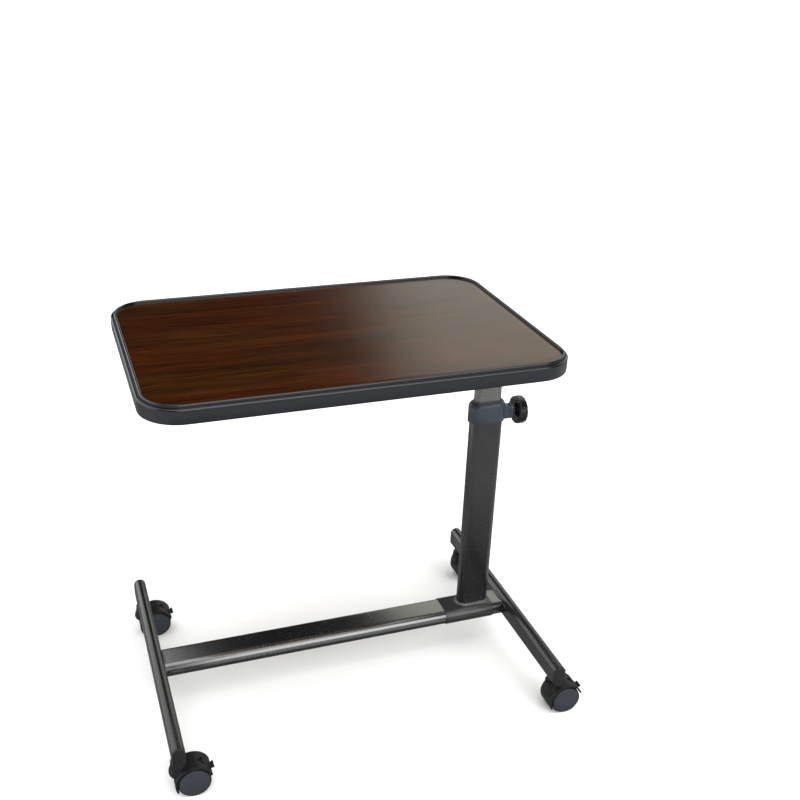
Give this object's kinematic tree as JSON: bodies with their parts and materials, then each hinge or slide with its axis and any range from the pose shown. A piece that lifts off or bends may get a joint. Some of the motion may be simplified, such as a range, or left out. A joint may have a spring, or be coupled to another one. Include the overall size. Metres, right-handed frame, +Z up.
{
  "type": "overbed table",
  "caption": "Overbed table: lipped wood-look top on a telescoping flat-oval column set to one side of an H-shaped base with swivel twin-wheel casters and a side clamp knob.",
  "frame": {"origin": "centre of the footprint on the floor, table fully lowered", "axes": "+X along the top towards the column side, +Y towards the back, +Z up"},
  "size_m": [0.6836, 0.442, 0.635],
  "materials": {
    "walnut_laminate": "satin dark walnut laminate, grain along X",
    "board_core": "raw medium-density fibreboard",
    "edge_pvc": "satin black PVC",
    "charcoal_powder": "satin charcoal powder coat",
    "grey_hammertone": "grey hammertone",
    "weld_bead": "painted weld",
    "black_plastic": "matte moulded",
    "bush_plastic": "matte moulded",
    "collar_plastic": "satin moulded",
    "knob_gloss": "gloss black",
    "caster_black": "satin moulded",
    "wheel_slate": "satin moulded",
    "pad_nylon": "natural nylon",
    "black_steel": "black-passivated steel",
    "zinc_steel": "zinc plated"
  },
  "bodies": {
    "base": {"outer_column": "charcoal_powder", "column_bush": "bush_plastic", "column_collar": "collar_plastic", "clamp_nut": "zinc_steel", "cross_bar": "charcoal_powder", "column_saddle": "charcoal_powder", "base_welds": "weld_bead", "left_foot": "charcoal_powder", "right_foot": "charcoal_powder", "foot_end_caps": "black_plastic", "stem_sockets": "black_plastic"},
    "mast": {"top_laminate": "walnut_laminate", "top_core": "board_core", "edge_moulding": "edge_pvc", "support_rail": "charcoal_powder", "rail_end_caps": "black_plastic", "cross_straps": "charcoal_powder", "strap_screws": "zinc_steel", "inner_mast": "grey_hammertone", "mast_weld": "weld_bead", "mast_foot_plug": "black_plastic"},
    "clamp_shoe": {"clamp_pad": "pad_nylon"},
    "knob": {"clamp_stud": "zinc_steel", "clamp_knob": "knob_gloss"},
    "caster_fl": {"fl_stem": "black_steel", "fl_hood": "caster_black", "fl_axle": "zinc_steel"},
    "wheel_fl_a": {"fl_wheel_a": "wheel_slate"},
    "wheel_fl_b": {"fl_wheel_b": "wheel_slate"},
    "brake_fl": {"fl_pedal": "caster_black"},
    "caster_fr": {"fr_stem": "black_steel", "fr_hood": "caster_black", "fr_axle": "zinc_steel"},
    "wheel_fr_a": {"fr_wheel_a": "wheel_slate"},
    "wheel_fr_b": {"fr_wheel_b": "wheel_slate"},
    "brake_fr": {"fr_pedal": "caster_black"},
    "caster_rl": {"rl_stem": "black_steel", "rl_hood": "caster_black", "rl_axle": "zinc_steel"},
    "wheel_rl_a": {"rl_wheel_a": "wheel_slate"},
    "wheel_rl_b": {"rl_wheel_b": "wheel_slate"},
    "brake_rl": {"rl_pedal": "caster_black"},
    "caster_rr": {"rr_stem": "black_steel", "rr_hood": "caster_black", "rr_axle": "zinc_steel"},
    "wheel_rr_a": {"rr_wheel_a": "wheel_slate"},
    "wheel_rr_b": {"rr_wheel_b": "wheel_slate"},
    "brake_rr": {"rr_pedal": "caster_black"}
  },
  "joints": [
    {"name": "height_slide", "type": "slide", "parent": "base", "child": "mast", "axis": [0, 0, 1], "range_m": [0, 0.3302]},
    {"name": "shoe_slide", "type": "slide", "parent": "base", "child": "clamp_shoe", "axis": [1, 0, 0], "range_m": [0, 0.0025]},
    {"name": "knob_turn", "type": "hinge", "parent": "clamp_shoe", "child": "knob", "pos_m": [0.27678, 0, 0.4635], "axis": [1, 0, 0], "range_deg": [0, 720]},
    {"name": "swivel_fl", "type": "hinge", "parent": "base", "child": "caster_fl", "pos_m": [-0.32722, -0.198, 0.06], "axis": [0, 0, 1], "continuous": true},
    {"name": "roll_fl_a", "type": "hinge", "parent": "caster_fl", "child": "wheel_fl_a", "pos_m": [-0.30622, -0.21, 0.025], "axis": [0, 1, 0], "continuous": true},
    {"name": "roll_fl_b", "type": "hinge", "parent": "caster_fl", "child": "wheel_fl_b", "pos_m": [-0.30622, -0.186, 0.025], "axis": [0, 1, 0], "continuous": true},
    {"name": "brake_fl", "type": "hinge", "parent": "caster_fl", "child": "brake_fl", "pos_m": [-0.29519, -0.198, 0.04575], "axis": [0, 1, 0], "range_deg": [0, 9]},
    {"name": "swivel_fr", "type": "hinge", "parent": "base", "child": "caster_fr", "pos_m": [0.28878, -0.198, 0.06], "axis": [0, 0, 1], "continuous": true},
    {"name": "roll_fr_a", "type": "hinge", "parent": "caster_fr", "child": "wheel_fr_a", "pos_m": [0.30978, -0.21, 0.025], "axis": [0, 1, 0], "continuous": true},
    {"name": "roll_fr_b", "type": "hinge", "parent": "caster_fr", "child": "wheel_fr_b", "pos_m": [0.30978, -0.186, 0.025], "axis": [0, 1, 0], "continuous": true},
    {"name": "brake_fr", "type": "hinge", "parent": "caster_fr", "child": "brake_fr", "pos_m": [0.32081, -0.198, 0.04575], "axis": [0, 1, 0], "range_deg": [0, 9]},
    {"name": "swivel_rl", "type": "hinge", "parent": "base", "child": "caster_rl", "pos_m": [-0.32722, 0.198, 0.06], "axis": [0, 0, 1], "continuous": true},
    {"name": "roll_rl_a", "type": "hinge", "parent": "caster_rl", "child": "wheel_rl_a", "pos_m": [-0.30622, 0.186, 0.025], "axis": [0, 1, 0], "continuous": true},
    {"name": "roll_rl_b", "type": "hinge", "parent": "caster_rl", "child": "wheel_rl_b", "pos_m": [-0.30622, 0.21, 0.025], "axis": [0, 1, 0], "continuous": true},
    {"name": "brake_rl", "type": "hinge", "parent": "caster_rl", "child": "brake_rl", "pos_m": [-0.29519, 0.198, 0.04575], "axis": [0, 1, 0], "range_deg": [0, 9]},
    {"name": "swivel_rr", "type": "hinge", "parent": "base", "child": "caster_rr", "pos_m": [0.28878, 0.198, 0.06], "axis": [0, 0, 1], "continuous": true},
    {"name": "roll_rr_a", "type": "hinge", "parent": "caster_rr", "child": "wheel_rr_a", "pos_m": [0.30978, 0.186, 0.025], "axis": [0, 1, 0], "continuous": true},
    {"name": "roll_rr_b", "type": "hinge", "parent": "caster_rr", "child": "wheel_rr_b", "pos_m": [0.30978, 0.21, 0.025], "axis": [0, 1, 0], "continuous": true},
    {"name": "brake_rr", "type": "hinge", "parent": "caster_rr", "child": "brake_rr", "pos_m": [0.32081, 0.198, 0.04575], "axis": [0, 1, 0], "range_deg": [0, 9]}
  ],
  "couplings": [
    {"joint": "shoe_slide", "follows": "knob_turn", "m_per_rad": 0.000198}
  ]
}
